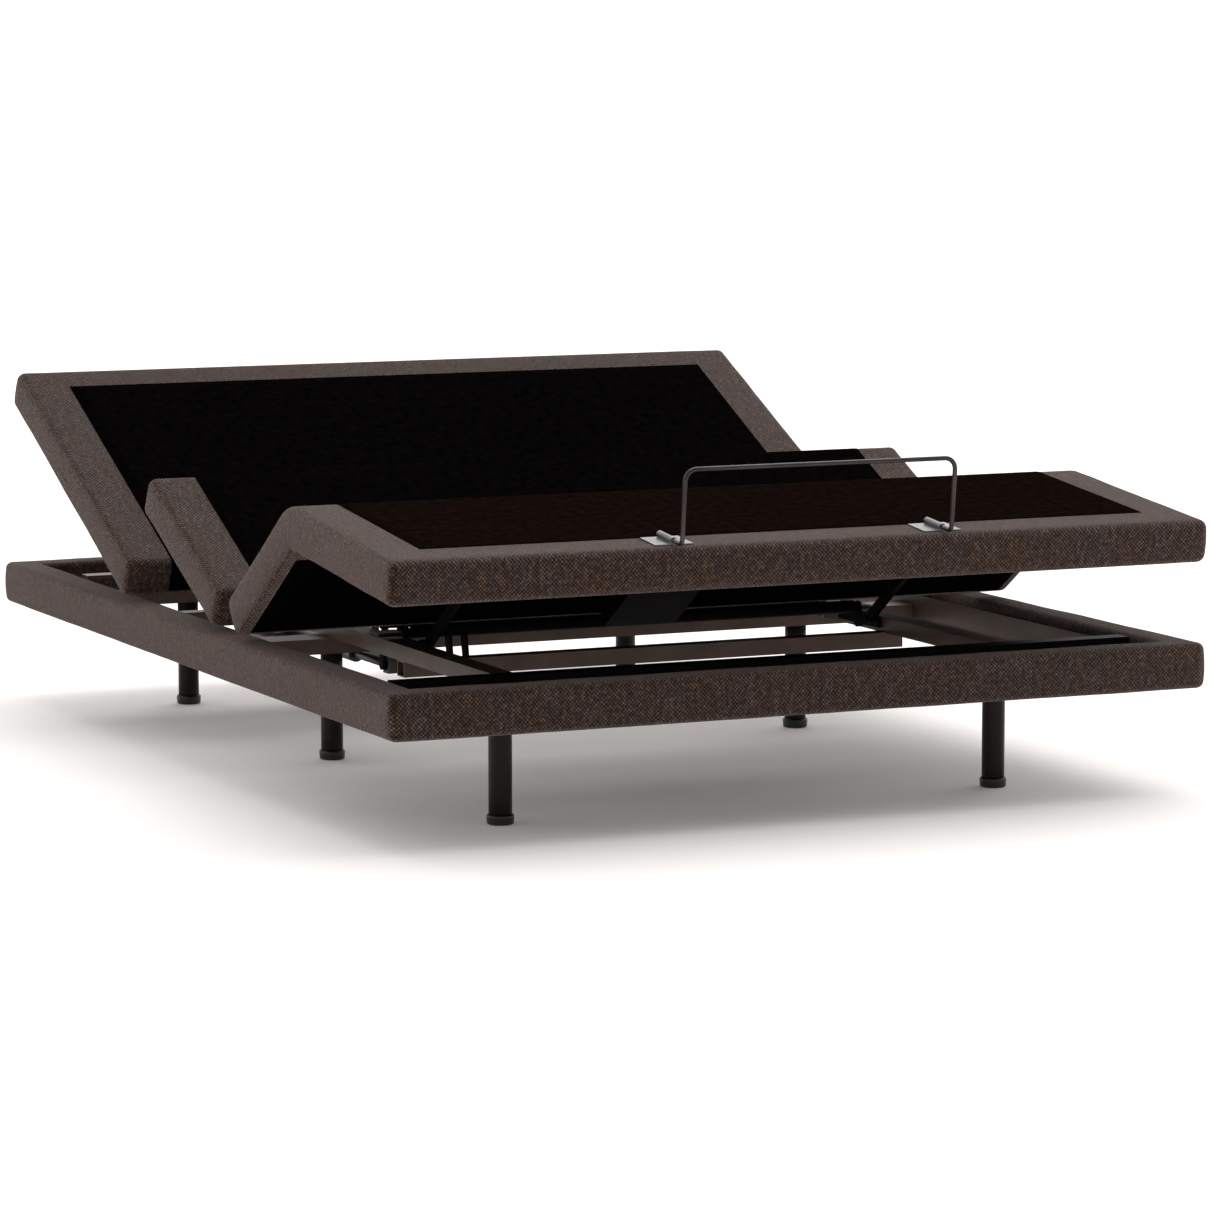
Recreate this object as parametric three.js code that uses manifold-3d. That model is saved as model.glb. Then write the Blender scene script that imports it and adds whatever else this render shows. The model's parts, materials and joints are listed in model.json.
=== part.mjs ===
// Adjustable bed base, queen size, with the back, lumbar and leg sections raised.
// Units are millimetres, +Z is up, +X is across the bed and +Y points to the head end.
// Inside this file Y = 0 is the foot end of the lower frame and Z = 0 is the floor;
// the last lines move the model so that its origin is under the centre of its bounding box.
import * as THREE from "three";
import { mergeVertices } from "three/addons/utils/BufferGeometryUtils.js";
import Module from "manifold-3d";

// ---- driving dimensions ----
const WIDTH = 1524;
const LENGTH = 2032;
const RETAINER_OVERHANG = 27.93; // how far the mattress retainer stands past the foot end
const GAP = 0.3; // clearance between pieces that touch
const PIN_Z = 266; // height of the back, lumbar and hip hinge lines

// lower frame
const RAIL = { width: 65, bottom: 187, top: 266, round: 11 };
const LEG = { x: 470, ys: [234, 1006, 1774], radius: 20, glideRadius: 23, glideHeight: 17, top: 200 };
const CROSS = { bottom: 200, top: 228, halfWidth: 692, wall: 2 };
const CROSS_TUBES = {
  foot_leg_cross_tube: { from: 218, to: 250, leg: 0 },
  thigh_cross_tube: { from: 611, to: 643, halfWidth: 489 },
  middle_leg_cross_tube: { from: 952, to: 1022, leg: 1 },
  motor_cross_tube: { from: 1404, to: 1436 },
  head_leg_cross_tube: { from: 1758, to: 1790, leg: 2 },
};
const LONG_TUBE = { x: 470, width: 40, bottom: 228.3, top: 256.3, wall: 2 };
const SIDE_PLATE = { thickness: 4, bottom: 205, top: 248, start: 66, end: 1966 };
const FOOT_END_TUBE = { from: 150, to: 184.5, bottom: 230, top: 263 };
const HEAD_FLAT_BAR = { from: 1744, to: 1780, thickness: 7.7 };

// padded deck panels
const PANEL = { thickness: 76, round: 14, corner: 18, border: 87, matDepth: 3, board: 18, boardInset: 22 };
const UNDERSIDE = 12; // from a hinge line up to the underside of its panel
const HEAD = { y: 1328, angle: 25.5, from: -12, to: 708 };
const LUMBAR = { y: 851, angle: 25.5, from: -12, to: 390 };
const THIGH = { y: 705.4, angle: -33.8, from: -308, to: 12 };
const KNEE = { y: -311, z: 4, underside: 8 }; // knee hinge line, from the hip hinge line in the thigh's own frame
const FOOT = { angle: 6, from: -445, to: -3 };

// hinges and lift frames
const SHAFT_RADIUS = 8;
const SLEEVE = { outer: 11.5, bore: 8.4, halfLength: 436 };
const EAR = { inner: 443, outer: 449, radius: 10 };
const SPINE = { halfWidth: 70, drop: 26, wall: 2.5 };
const CRANK = { length: 80, pinRadius: 5, plate: 6, gap: 24, halfWidth: 10 };
const HEAD_CRANK = { x: 220, angle: -30 };
const LUMBAR_CRANK = { x: -412, angle: -15 };
const LEG_CRANK = { x: -352, angle: 21.9 };
const KNEE_PIN = { radius: 4, sleeve: 7.5, bore: 4.4, halfLength: 300, middle: 100 };
const LINK = { y: -70, z: -12.9, thickness: 10, x: 433, eye: 9, pinRadius: 4, lowBore: 4.4, highBore: 6.5 };
const LINK_TOP = { y: -70, z: -4 }; // upper link pin, from the knee in the foot panel's own frame
const CARRIAGE = { back: 72, front: -86, shoeFrom: 26, shoeTo: 70 };

// drives
const DRIVE = { z: 186, rod: 7.5, yokeHalf: 12, yokeWidth: 18, yokeBottom: 172, yokeTop: 212, slot: 5.9 };
const HOUSING = { tube: 15, gearboxHalf: 26, gearboxLength: 76, gearboxBottom: 158, motor: 17, motorLength: 136 };
const HEAD_HOUSING = { mouth: 1442, closed: 1794, motorOffset: 44 };
const LEG_HOUSING = { mouth: 1030, closed: 1438, motorOffset: 44 };
const LUMBAR_HOUSING = { mouth: 1030, closed: 1438, motorOffset: -44 };

// mattress retainer
const RETAINER = { halfSpan: 250, rod: 4, height: 125, corner: 20, tail: 78, plateX: 70, plateY: 60 };

const wasm = await Module();
wasm.setup();
const rad = THREE.MathUtils.degToRad;

// ---- solids: plain geometry in, plain geometry out ----
function toSolid(geometry) {
  const bare = geometry.index ? geometry.toNonIndexed() : geometry.clone();
  bare.deleteAttribute("normal");
  bare.deleteAttribute("uv");
  const merged = mergeVertices(bare, 1e-4);
  const vertProperties = merged.attributes.position.array;
  const triVerts = new Uint32Array(merged.index.array);
  return new wasm.Manifold(new wasm.Mesh({ numProp: 3, vertProperties, triVerts }));
}

function toGeometry(solid) {
  const mesh = solid.getMesh();
  const geometry = new THREE.BufferGeometry();
  geometry.setAttribute("position", new THREE.BufferAttribute(new Float32Array(mesh.vertProperties), 3));
  geometry.setIndex(new THREE.BufferAttribute(new Uint32Array(mesh.triVerts), 1));
  geometry.computeVertexNormals();
  return geometry;
}

function join(...geometries) {
  return toGeometry(geometries.map(toSolid).reduce((all, next) => all.add(next)));
}

function cut(body, ...tools) {
  return toGeometry(tools.map(toSolid).reduce((rest, tool) => rest.subtract(tool), toSolid(body)));
}

// ---- basic shapes ----
function box(x0, x1, y0, y1, z0, z1) {
  const geometry = new THREE.BoxGeometry(x1 - x0, y1 - y0, z1 - z0);
  return geometry.translate((x0 + x1) / 2, (y0 + y1) / 2, (z0 + z1) / 2);
}

function cylinderX(radius, x0, x1, y, z, sides = 24) {
  const geometry = new THREE.CylinderGeometry(radius, radius, x1 - x0, sides);
  return geometry.rotateZ(Math.PI / 2).translate((x0 + x1) / 2, y, z);
}

function cylinderY(radius, x, y0, y1, z, sides = 24) {
  const geometry = new THREE.CylinderGeometry(radius, radius, y1 - y0, sides);
  return geometry.translate(x, (y0 + y1) / 2, z);
}

function cylinderZ(radius, x, y, z0, z1, sides = 28) {
  const geometry = new THREE.CylinderGeometry(radius, radius, z1 - z0, sides);
  return geometry.rotateX(Math.PI / 2).translate(x, y, (z0 + z1) / 2);
}

// A rectangular tube with open ends, running along X.
function tubeX(x0, x1, y0, y1, z0, z1, wall) {
  return cut(box(x0, x1, y0, y1, z0, z1), box(x0 - 1, x1 + 1, y0 + wall, y1 - wall, z0 + wall, z1 - wall));
}

// A rectangular tube with open ends, running along Y.
function tubeY(x0, x1, y0, y1, z0, z1, wall) {
  return cut(box(x0, x1, y0, y1, z0, z1), box(x0 + wall, x1 - wall, y0 - 1, y1 + 1, z0 + wall, z1 - wall));
}

// A flat plate across X whose outline is the hull of two circles: a link, ear or crank.
function linkPlate(x0, x1, from, to, radiusFrom, radiusTo) {
  const a = toSolid(cylinderX(radiusFrom, x0, x1, from.y, from.z));
  const b = toSolid(cylinderX(radiusTo, x0, x1, to.y, to.z));
  return toGeometry(wasm.Manifold.hull([a, b]));
}

// A slab with rounded plan corners and rounded upper and lower edges.
function softSlab(x0, x1, y0, y1, z0, z1, corner, round) {
  const shape = new THREE.Shape();
  const [a, b, c, d] = [x0 + round, x1 - round, y0 + round, y1 - round];
  const r = Math.max(corner - round, 1);
  shape.moveTo(a + r, c);
  shape.lineTo(b - r, c);
  shape.absarc(b - r, c + r, r, -Math.PI / 2, 0, false);
  shape.lineTo(b, d - r);
  shape.absarc(b - r, d - r, r, 0, Math.PI / 2, false);
  shape.lineTo(a + r, d);
  shape.absarc(a + r, d - r, r, Math.PI / 2, Math.PI, false);
  shape.lineTo(a, c + r);
  shape.absarc(a + r, c + r, r, Math.PI, 1.5 * Math.PI, false);
  const options = {
    depth: z1 - z0 - 2 * round,
    bevelEnabled: true,
    bevelThickness: round,
    bevelSize: round,
    bevelSegments: 3,
    curveSegments: 4,
  };
  return new THREE.ExtrudeGeometry(shape, options).translate(0, 0, z0 + round);
}

// ---- materials ----
function material(colour, roughness, metalness) {
  return new THREE.MeshStandardMaterial({ color: colour, roughness, metalness });
}
const fabric = material(0x4a3d39, 0.95, 0);
const matFabric = material(0x0b0908, 0.95, 0);
const plywood = material(0x6f5137, 0.8, 0);
const paintedSteel = material(0x17130f, 0.5, 0.6);
const brightSteel = material(0x9a9794, 0.35, 0.9);
const blackPlastic = material(0x111111, 0.55, 0);

const base = new THREE.Group();
const section = {};

function add(group, name, geometry, look) {
  const mesh = new THREE.Mesh(geometry, look);
  mesh.name = name;
  group.add(mesh);
}

function panelGroup(name, y, z, angle) {
  const group = new THREE.Group();
  group.position.set(0, y, z);
  group.rotation.x = rad(angle);
  section[name] = group;
  return group;
}

const SIDES = [
  ["left", -1],
  ["right", 1],
];

// ---- lower frame ----
function addRails() {
  const half = WIDTH / 2;
  const { width, bottom, top, round } = RAIL;
  for (const [side, sign] of SIDES) {
    const [a, b] = [sign * half, sign * (half - width)].sort((p, q) => p - q);
    add(base, `rail_${side}`, softSlab(a, b, 0, LENGTH, bottom, top, 14, round), fabric);
  }
  const inner = half - width - GAP;
  add(base, "rail_foot", softSlab(-inner, inner, 0, width, bottom, top, 12, round), fabric);
  add(base, "rail_head", softSlab(-inner, inner, LENGTH - width, LENGTH, bottom, top, 12, round), fabric);
}

function addSidePlates() {
  const outer = WIDTH / 2 - RAIL.width - GAP;
  for (const [side, sign] of SIDES) {
    const [a, b] = [sign * outer, sign * (outer - SIDE_PLATE.thickness)].sort((p, q) => p - q);
    const plate = box(a, b, SIDE_PLATE.start, SIDE_PLATE.end, SIDE_PLATE.bottom, SIDE_PLATE.top);
    add(base, `side_plate_${side}`, plate, paintedSteel);
  }
}

// One ear on the inner face of a long tube, holding a hinge shaft.
function ear(sign, y) {
  const [a, b] = [sign * EAR.inner, sign * (EAR.outer + 1.5)].sort((p, q) => p - q);
  return linkPlate(a, b, { y, z: PIN_Z }, { y, z: LONG_TUBE.bottom + 12 }, EAR.radius, 11);
}

function addLongTubes() {
  const { x, width, bottom, top, wall } = LONG_TUBE;
  for (const [side, sign] of SIDES) {
    const middle = sign * x;
    const [y0, y1] = [FOOT_END_TUBE.to + GAP, LENGTH - RAIL.width - GAP];
    const tube = tubeY(middle - width / 2, middle + width / 2, y0, y1, bottom, top, wall);
    const ears = [HEAD.y, LUMBAR.y].map((y) => ear(sign, y));
    const bores = [HEAD.y, LUMBAR.y].map((y) => {
      return cylinderX(SHAFT_RADIUS + GAP, middle - sign * 20 - 12, middle - sign * 20 + 12, y, PIN_Z);
    });
    add(base, `long_tube_${side}`, cut(join(tube, ...ears), ...bores), paintedSteel);
  }
}

function addCrossTubes() {
  const { bottom, top, wall } = CROSS;
  for (const [name, { from, to, leg, halfWidth = CROSS.halfWidth }] of Object.entries(CROSS_TUBES)) {
    const tube = tubeX(-halfWidth, halfWidth, from, to, bottom, top, wall);
    if (leg === undefined) {
      add(base, name, tube, paintedSteel);
    } else {
      const y = LEG.ys[leg];
      const holes = SIDES.map(([, sign]) => cylinderZ(6, sign * LEG.x, y, bottom - 1, bottom + wall + 1, 16));
      add(base, name, cut(tube, ...holes), paintedSteel);
    }
  }
}

// The end tube stands across the foot ends of the long tubes, and the flat bar lies on them at the head end.
function addEndBars() {
  const { from, to, bottom, top } = FOOT_END_TUBE;
  add(base, "foot_end_tube", tubeX(-CROSS.halfWidth, CROSS.halfWidth, from, to, bottom, top, CROSS.wall), paintedSteel);
  const z = LONG_TUBE.top + GAP;
  const bar = box(-684, 684, HEAD_FLAT_BAR.from, HEAD_FLAT_BAR.to, z, z + HEAD_FLAT_BAR.thickness);
  add(base, "head_flat_bar", bar, paintedSteel);
}

// A round leg with its screw stud, and the plastic cup under it.
function addLegs() {
  const rows = ["foot", "middle", "head"];
  LEG.ys.forEach((y, row) => {
    for (const [side, sign] of SIDES) {
      const x = sign * LEG.x;
      const shank = cylinderZ(LEG.radius, x, y, 6, LEG.top - GAP);
      const stud = cylinderZ(5, x, y, LEG.top - 1, LEG.top + 22, 16);
      add(base, `leg_${rows[row]}_${side}`, join(shank, stud), paintedSteel);
      const cup = cylinderZ(LEG.glideRadius, x, y, 0, LEG.glideHeight);
      const socket = cylinderZ(LEG.radius + GAP, x, y, 6 - GAP, LEG.glideHeight + 1);
      add(base, `leg_glide_${rows[row]}_${side}`, cut(cup, socket), blackPlastic);
    }
  });
}

function addHingeShafts() {
  for (const [name, y] of [["head_hinge_shaft", HEAD.y], ["lumbar_hinge_shaft", LUMBAR.y]]) {
    add(base, name, cylinderX(SHAFT_RADIUS, -EAR.outer, EAR.outer, y, PIN_Z), brightSteel);
  }
}

// A drive housing: a gearbox hung under a cross tube, its motor beside it, and the tube the push rod slides in.
function driveHousing(x, { mouth, closed, motorOffset }) {
  const { z, rod } = DRIVE;
  const { tube, gearboxHalf, gearboxLength, gearboxBottom, motor, motorLength } = HOUSING;
  const front = closed - gearboxLength;
  const top = CROSS.bottom - GAP;
  const screwTube = cylinderY(tube, x, mouth, front + 2, z);
  const gearbox = box(x - gearboxHalf, x + gearboxHalf, front, closed, gearboxBottom, top);
  const motorCan = cylinderY(motor, x + motorOffset, closed - motorLength, closed - 4, z - 8);
  const bridge = box(Math.min(x, x + motorOffset), Math.max(x, x + motorOffset), front + 4, closed - 8, 166, 188);
  const bore = cylinderY(rod + 0.8, x, mouth - 1, closed - 12, z);
  return cut(join(screwTube, gearbox, motorCan, bridge), bore);
}

// A push rod whose slotted yoke takes a crank pin at pinY.
function pushRod(x, pinY, inside) {
  const { z, rod, yokeHalf, yokeWidth, yokeBottom, yokeTop, slot } = DRIVE;
  const toward = Math.sign(inside - pinY);
  const [y0, y1] = [pinY + toward * (yokeHalf - 2), inside].sort((p, q) => p - q);
  const shank = cylinderY(rod, x, y0, y1, z);
  const yoke = box(x - yokeWidth / 2, x + yokeWidth / 2, pinY - yokeHalf, pinY + yokeHalf, yokeBottom, yokeTop);
  const window = box(x - yokeWidth, x + yokeWidth, pinY - slot, pinY + slot, yokeBottom + 5, yokeTop - 5);
  return cut(join(shank, yoke), window);
}

function crankPinY(hingeY, crank, angle) {
  return hingeY + CRANK.length * Math.sin(rad(crank.angle + angle));
}

function addDrives() {
  const headPin = crankPinY(HEAD.y, HEAD_CRANK, HEAD.angle);
  const lumbarPin = crankPinY(LUMBAR.y, LUMBAR_CRANK, LUMBAR.angle);
  const legPin = crankPinY(THIGH.y, LEG_CRANK, THIGH.angle);
  add(base, "head_motor", driveHousing(HEAD_CRANK.x, HEAD_HOUSING), blackPlastic);
  add(base, "lumbar_motor", driveHousing(LUMBAR_CRANK.x, LUMBAR_HOUSING), blackPlastic);
  add(base, "leg_motor", driveHousing(LEG_CRANK.x, LEG_HOUSING), blackPlastic);
  add(base, "head_push_rod", pushRod(HEAD_CRANK.x, headPin, HEAD_HOUSING.mouth + 110), brightSteel);
  add(base, "lumbar_push_rod", pushRod(LUMBAR_CRANK.x, lumbarPin, LUMBAR_HOUSING.mouth + 110), brightSteel);
  add(base, "leg_push_rod", pushRod(LEG_CRANK.x, legPin, LEG_HOUSING.mouth + 110), brightSteel);
}

function addControlBox() {
  const x = -LONG_TUBE.x + LONG_TUBE.width / 2 + GAP;
  const body = softSlab(x, x + 90, 1460, 1640, 208, 248, 8, 4);
  const sockets = [1485, 1510, 1535].map((y) => box(x + 82, x + 92, y, y + 14, 222, 234));
  const inlet = box(x + 80, x + 92, 1580, 1606, 219, 237);
  sockets.push(inlet);
  add(base, "control_box", cut(body, ...sockets), blackPlastic);
}

// ---- padded panels ----
// The cover is the padded shell, open underneath where the board sits and recessed on top for the mat.
// borderLow and borderHigh say whether the fabric border also runs along that end of the panel.
function addPanel(group, name, from, to, underside, borderLow, borderHigh) {
  const half = WIDTH / 2;
  const { thickness, round, corner, border, matDepth, board, boardInset } = PANEL;
  const [z0, z1] = [underside, underside + thickness];
  const inset = { low: borderLow ? border : -1, high: borderHigh ? border : -1 };
  const slab = softSlab(-half, half, from, to, z0, z1, corner, round);
  const [bx, b0, b1] = [half - boardInset, from + boardInset, to - boardInset];
  const pocket = box(-bx - GAP, bx + GAP, b0 - GAP, b1 + GAP, z0 - 1, z0 + board + GAP);
  const mx = half - border;
  const recess = box(-mx, mx, from + inset.low, to - inset.high, z1 - matDepth, z1 + 1);
  add(group, `${name}_cover`, cut(slab, pocket, recess), fabric);
  add(group, `${name}_board`, box(-bx, bx, b0, b1, z0, z0 + board), plywood);
  const m0 = borderLow ? from + border + GAP : from + round;
  const m1 = borderHigh ? to - border - GAP : to - round;
  const mat = box(-mx + GAP, mx - GAP, m0, m1, z1 - matDepth + GAP, z1);
  add(group, `${name}_mat`, mat, matFabric);
}

// The tube that turns on a hinge shaft.
function sleeve() {
  return cylinderX(SLEEVE.outer, -SLEEVE.halfLength, SLEEVE.halfLength, 0, 0);
}

function sleeveBore() {
  return cylinderX(SLEEVE.bore, -SLEEVE.halfLength - 1, SLEEVE.halfLength + 1, 0, 0);
}

// Two plates and a pin below the sleeve, for the slotted yoke of a push rod.
function crank({ x, angle }) {
  const end = { y: CRANK.length * Math.sin(rad(angle)), z: -CRANK.length * Math.cos(rad(angle)) };
  const half = CRANK.gap / 2;
  const plate = (x0) => linkPlate(x0, x0 + CRANK.plate, { y: 0, z: 0 }, end, CRANK.halfWidth, CRANK.halfWidth - 1);
  const pin = cylinderX(CRANK.pinRadius, x - half - 1, x + half + 1, end.y, end.z);
  return [plate(x - half - CRANK.plate), plate(x + half), pin];
}

// An inverted hat channel that carries a board.
function spine(y0, y1, top) {
  const { halfWidth, drop, wall } = SPINE;
  const outer = box(-halfWidth, halfWidth, y0, y1, top - drop, top);
  const hollow = box(-halfWidth + wall, halfWidth - wall, y0 + wall, y1 - wall, top - drop + wall, top + 1);
  return cut(outer, hollow);
}

function addHeadSection() {
  const group = panelGroup("head", HEAD.y, PIN_Z, HEAD.angle);
  addPanel(group, "head", HEAD.from, HEAD.to, UNDERSIDE, false, true);
  const frame = join(sleeve(), spine(6, 400, UNDERSIDE - GAP), ...crank(HEAD_CRANK));
  add(group, "head_lift_frame", cut(frame, sleeveBore()), paintedSteel);
}

function addLumbarSection() {
  const group = panelGroup("lumbar", LUMBAR.y, PIN_Z, LUMBAR.angle);
  addPanel(group, "lumbar", LUMBAR.from, LUMBAR.to, UNDERSIDE, false, false);
  const frame = join(sleeve(), spine(6, 340, UNDERSIDE - GAP), ...crank(LUMBAR_CRANK));
  add(group, "lumbar_lift_frame", cut(frame, sleeveBore()), paintedSteel);
}

function addThighSection() {
  const group = panelGroup("thigh", THIGH.y, PIN_Z, THIGH.angle);
  addPanel(group, "thigh", THIGH.from, THIGH.to, UNDERSIDE, false, false);
  const knuckle = cylinderX(KNEE_PIN.sleeve, -KNEE_PIN.middle, KNEE_PIN.middle, KNEE.y, KNEE.z);
  const tongue = box(-SPINE.halfWidth, SPINE.halfWidth, KNEE.y, -280, KNEE.z - 4, KNEE.z + 2);
  const frame = join(sleeve(), spine(-296, -6, UNDERSIDE - GAP), ...crank(LEG_CRANK), knuckle, tongue);
  const kneeBore = cylinderX(KNEE_PIN.bore, -KNEE_PIN.middle - 1, KNEE_PIN.middle + 1, KNEE.y, KNEE.z);
  add(group, "thigh_lift_frame", cut(frame, sleeveBore(), kneeBore), paintedSteel);
}

function kneePoint() {
  const local = new THREE.Vector3(0, KNEE.y, KNEE.z).applyAxisAngle(new THREE.Vector3(1, 0, 0), rad(THIGH.angle));
  return local.add(new THREE.Vector3(0, THIGH.y, PIN_Z));
}

function addFootSection() {
  const knee = kneePoint();
  const group = panelGroup("foot", knee.y, knee.z, FOOT.angle);
  addPanel(group, "foot", FOOT.from, FOOT.to, KNEE.underside, true, false);
  const under = KNEE.underside - GAP;
  const reach = LINK.x - LINK.thickness / 2 - 3;
  const crossBar = box(-reach, reach, LINK_TOP.y - 14, LINK_TOP.y + 14, under - 24, under);
  const parts = [crossBar, spine(-250, LINK_TOP.y, under)];
  parts.push(cylinderX(KNEE_PIN.radius, -KNEE_PIN.middle - 10, KNEE_PIN.middle + 10, 0, 0));
  for (const [, sign] of SIDES) {
    const [a, b] = [sign * (KNEE_PIN.middle + 4), sign * KNEE_PIN.halfLength].sort((p, q) => p - q);
    parts.push(cylinderX(KNEE_PIN.sleeve, a, b, 0, 0));
    parts.push(box(sign * 200 - 30, sign * 200 + 30, LINK_TOP.y, 0, -4, 2));
    const [c, d] = [sign * (reach - 2), sign * (LINK.x + LINK.thickness / 2 + 3)].sort((p, q) => p - q);
    parts.push(cylinderX(LINK.pinRadius, c, d, LINK_TOP.y, LINK_TOP.z));
  }
  add(group, "foot_lift_frame", join(...parts), paintedSteel);
  addRetainer(group);
}

// ---- mattress retainer: a bent rod whose two tails slide into clips on the foot panel ----
function retainerRod(top) {
  const { halfSpan, rod, height, corner, tail } = RETAINER;
  const axisZ = top + rod + 3.4;
  const postY = FOOT.from - rod - 4;
  const path = new THREE.CurvePath();
  const point = (x, y, z) => new THREE.Vector3(x, y, z);
  const bend = 9;
  const points = [];
  const addSide = (sign) => [
    point(sign * halfSpan, postY + tail, axisZ),
    point(sign * halfSpan, postY + bend, axisZ),
    point(sign * halfSpan, postY, axisZ),
    point(sign * halfSpan, postY, axisZ + bend),
    point(sign * halfSpan, postY, axisZ + height - corner),
    point(sign * halfSpan, postY, axisZ + height),
    point(sign * (halfSpan - corner), postY, axisZ + height),
  ];
  points.push(...addSide(-1), ...addSide(1).reverse());
  path.add(new THREE.LineCurve3(points[0], points[1]));
  path.add(new THREE.QuadraticBezierCurve3(points[1], points[2], points[3]));
  path.add(new THREE.LineCurve3(points[3], points[4]));
  path.add(new THREE.QuadraticBezierCurve3(points[4], points[5], points[6]));
  path.add(new THREE.LineCurve3(points[6], points[7]));
  path.add(new THREE.QuadraticBezierCurve3(points[7], points[8], points[9]));
  path.add(new THREE.LineCurve3(points[9], points[10]));
  path.add(new THREE.QuadraticBezierCurve3(points[10], points[11], points[12]));
  path.add(new THREE.LineCurve3(points[12], points[13]));
  const section = new THREE.Shape();
  section.absarc(0, 0, rod, 0, 2 * Math.PI, false);
  return new THREE.ExtrudeGeometry(section, { steps: 150, extrudePath: path, curveSegments: 5, bevelEnabled: false });
}

// A plate screwed to the panel with a rolled clip for one tail of the retainer.
function retainerPlate(sign, top) {
  const { halfSpan, rod, plateX, plateY } = RETAINER;
  const x = sign * halfSpan;
  const y0 = FOOT.from + 22;
  const z = top + GAP;
  const axisZ = top + rod + 3.4;
  const plate = box(x - plateX / 2, x + plateX / 2, y0, y0 + plateY, z, z + 2);
  const clip = cylinderY(rod + 1.8, x, y0 + 2, y0 + plateY - 2, axisZ, 20);
  const foot = box(x - rod - 1, x + rod + 1, y0 + 2, y0 + plateY - 2, z + 1, axisZ);
  const bore = cylinderY(rod + 0.4, x, y0 - 1, y0 + plateY + 1, axisZ, 20);
  return cut(join(plate, clip, foot), bore);
}

function addRetainer(group) {
  const top = KNEE.underside + PANEL.thickness;
  add(group, "retainer_bar", retainerRod(top), brightSteel);
  for (const [side, sign] of SIDES) {
    add(group, `retainer_plate_${side}`, retainerPlate(sign, top), brightSteel);
  }
}

// ---- leg carriage: two side bars on the hip shaft, with shoes that slide along the long tubes ----
function addCarriage() {
  const hip = THIGH.y;
  const parts = [cylinderX(SHAFT_RADIUS, -EAR.outer, EAR.outer, hip, PIN_Z)];
  for (const [, sign] of SIDES) {
    const [a, b] = [sign * EAR.inner, sign * EAR.outer].sort((p, q) => p - q);
    parts.push(box(a, b, hip + CARRIAGE.front, hip + CARRIAGE.back, 236, 256));
    parts.push(linkPlate(a, b, { y: hip, z: PIN_Z }, { y: hip, z: 240 }, EAR.radius, 12));
    parts.push(cylinderX(9, a, b, hip + LINK.y, PIN_Z + LINK.z));
    const [c, d] = [sign * (LINK.x - LINK.thickness / 2 - 3), sign * EAR.outer].sort((p, q) => p - q);
    parts.push(cylinderX(LINK.pinRadius, c, d, hip + LINK.y, PIN_Z + LINK.z));
  }
  add(base, "leg_carriage", join(...parts), paintedSteel);
  for (const [side, sign] of SIDES) {
    const [a, b] = [sign * EAR.inner, sign * 488].sort((p, q) => p - q);
    const z = LONG_TUBE.top + GAP;
    const shoe = box(a, b, hip + CARRIAGE.shoeFrom, hip + CARRIAGE.shoeTo, z, z + 6.4);
    add(base, `carriage_shoe_${side}`, shoe, blackPlastic);
  }
}

// ---- foot links: keep the foot panel nearly level as the thigh rises ----
function addFootLinks() {
  const knee = kneePoint();
  const low = { y: THIGH.y + LINK.y, z: PIN_Z + LINK.z };
  const top = new THREE.Vector3(0, LINK_TOP.y, LINK_TOP.z)
    .applyAxisAngle(new THREE.Vector3(1, 0, 0), rad(FOOT.angle))
    .add(knee);
  for (const [side, sign] of SIDES) {
    const [a, b] = [sign * LINK.x - LINK.thickness / 2, sign * LINK.x + LINK.thickness / 2];
    const bar = linkPlate(a, b, low, { y: top.y, z: top.z }, LINK.eye, LINK.eye);
    const lowBore = cylinderX(LINK.lowBore, a - 1, b + 1, low.y, low.z);
    const highBore = cylinderX(LINK.highBore, a - 1, b + 1, top.y, top.z);
    add(base, `foot_link_${side}`, cut(bar, lowBore, highBore), paintedSteel);
  }
}

addRails();
addSidePlates();
addLongTubes();
addCrossTubes();
addEndBars();
addLegs();
addHingeShafts();
addDrives();
addControlBox();
addHeadSection();
addLumbarSection();
addThighSection();
addFootSection();
addCarriage();
addFootLinks();

const bed = new THREE.Group();
bed.add(base, ...Object.values(section));
bed.position.y = -(LENGTH - RETAINER_OVERHANG) / 2;
export default bed;
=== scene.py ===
"""Adjustable bed base: tweed covers, black mats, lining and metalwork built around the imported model."""
import json
import math

import bmesh
import bpy
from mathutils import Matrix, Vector, noise


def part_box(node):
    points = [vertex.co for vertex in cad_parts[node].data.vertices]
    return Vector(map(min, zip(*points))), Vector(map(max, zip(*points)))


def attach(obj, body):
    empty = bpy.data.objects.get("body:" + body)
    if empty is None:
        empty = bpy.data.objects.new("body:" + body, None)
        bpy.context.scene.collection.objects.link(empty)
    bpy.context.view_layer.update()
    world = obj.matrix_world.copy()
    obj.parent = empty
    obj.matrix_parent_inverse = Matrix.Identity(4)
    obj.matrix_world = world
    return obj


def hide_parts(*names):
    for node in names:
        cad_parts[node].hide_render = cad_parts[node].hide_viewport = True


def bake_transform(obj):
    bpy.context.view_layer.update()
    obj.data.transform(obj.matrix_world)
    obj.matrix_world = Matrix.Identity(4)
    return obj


MM = 0.001
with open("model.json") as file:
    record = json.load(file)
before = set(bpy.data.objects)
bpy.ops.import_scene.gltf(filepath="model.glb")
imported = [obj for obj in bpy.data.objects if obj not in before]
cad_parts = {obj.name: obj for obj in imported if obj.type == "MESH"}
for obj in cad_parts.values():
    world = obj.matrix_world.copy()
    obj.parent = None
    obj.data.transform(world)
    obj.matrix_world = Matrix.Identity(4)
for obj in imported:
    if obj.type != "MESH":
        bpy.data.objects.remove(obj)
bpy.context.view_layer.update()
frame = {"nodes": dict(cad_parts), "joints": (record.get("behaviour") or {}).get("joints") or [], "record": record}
JOINTS = {joint["name"]: joint for joint in frame["joints"]}

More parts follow.
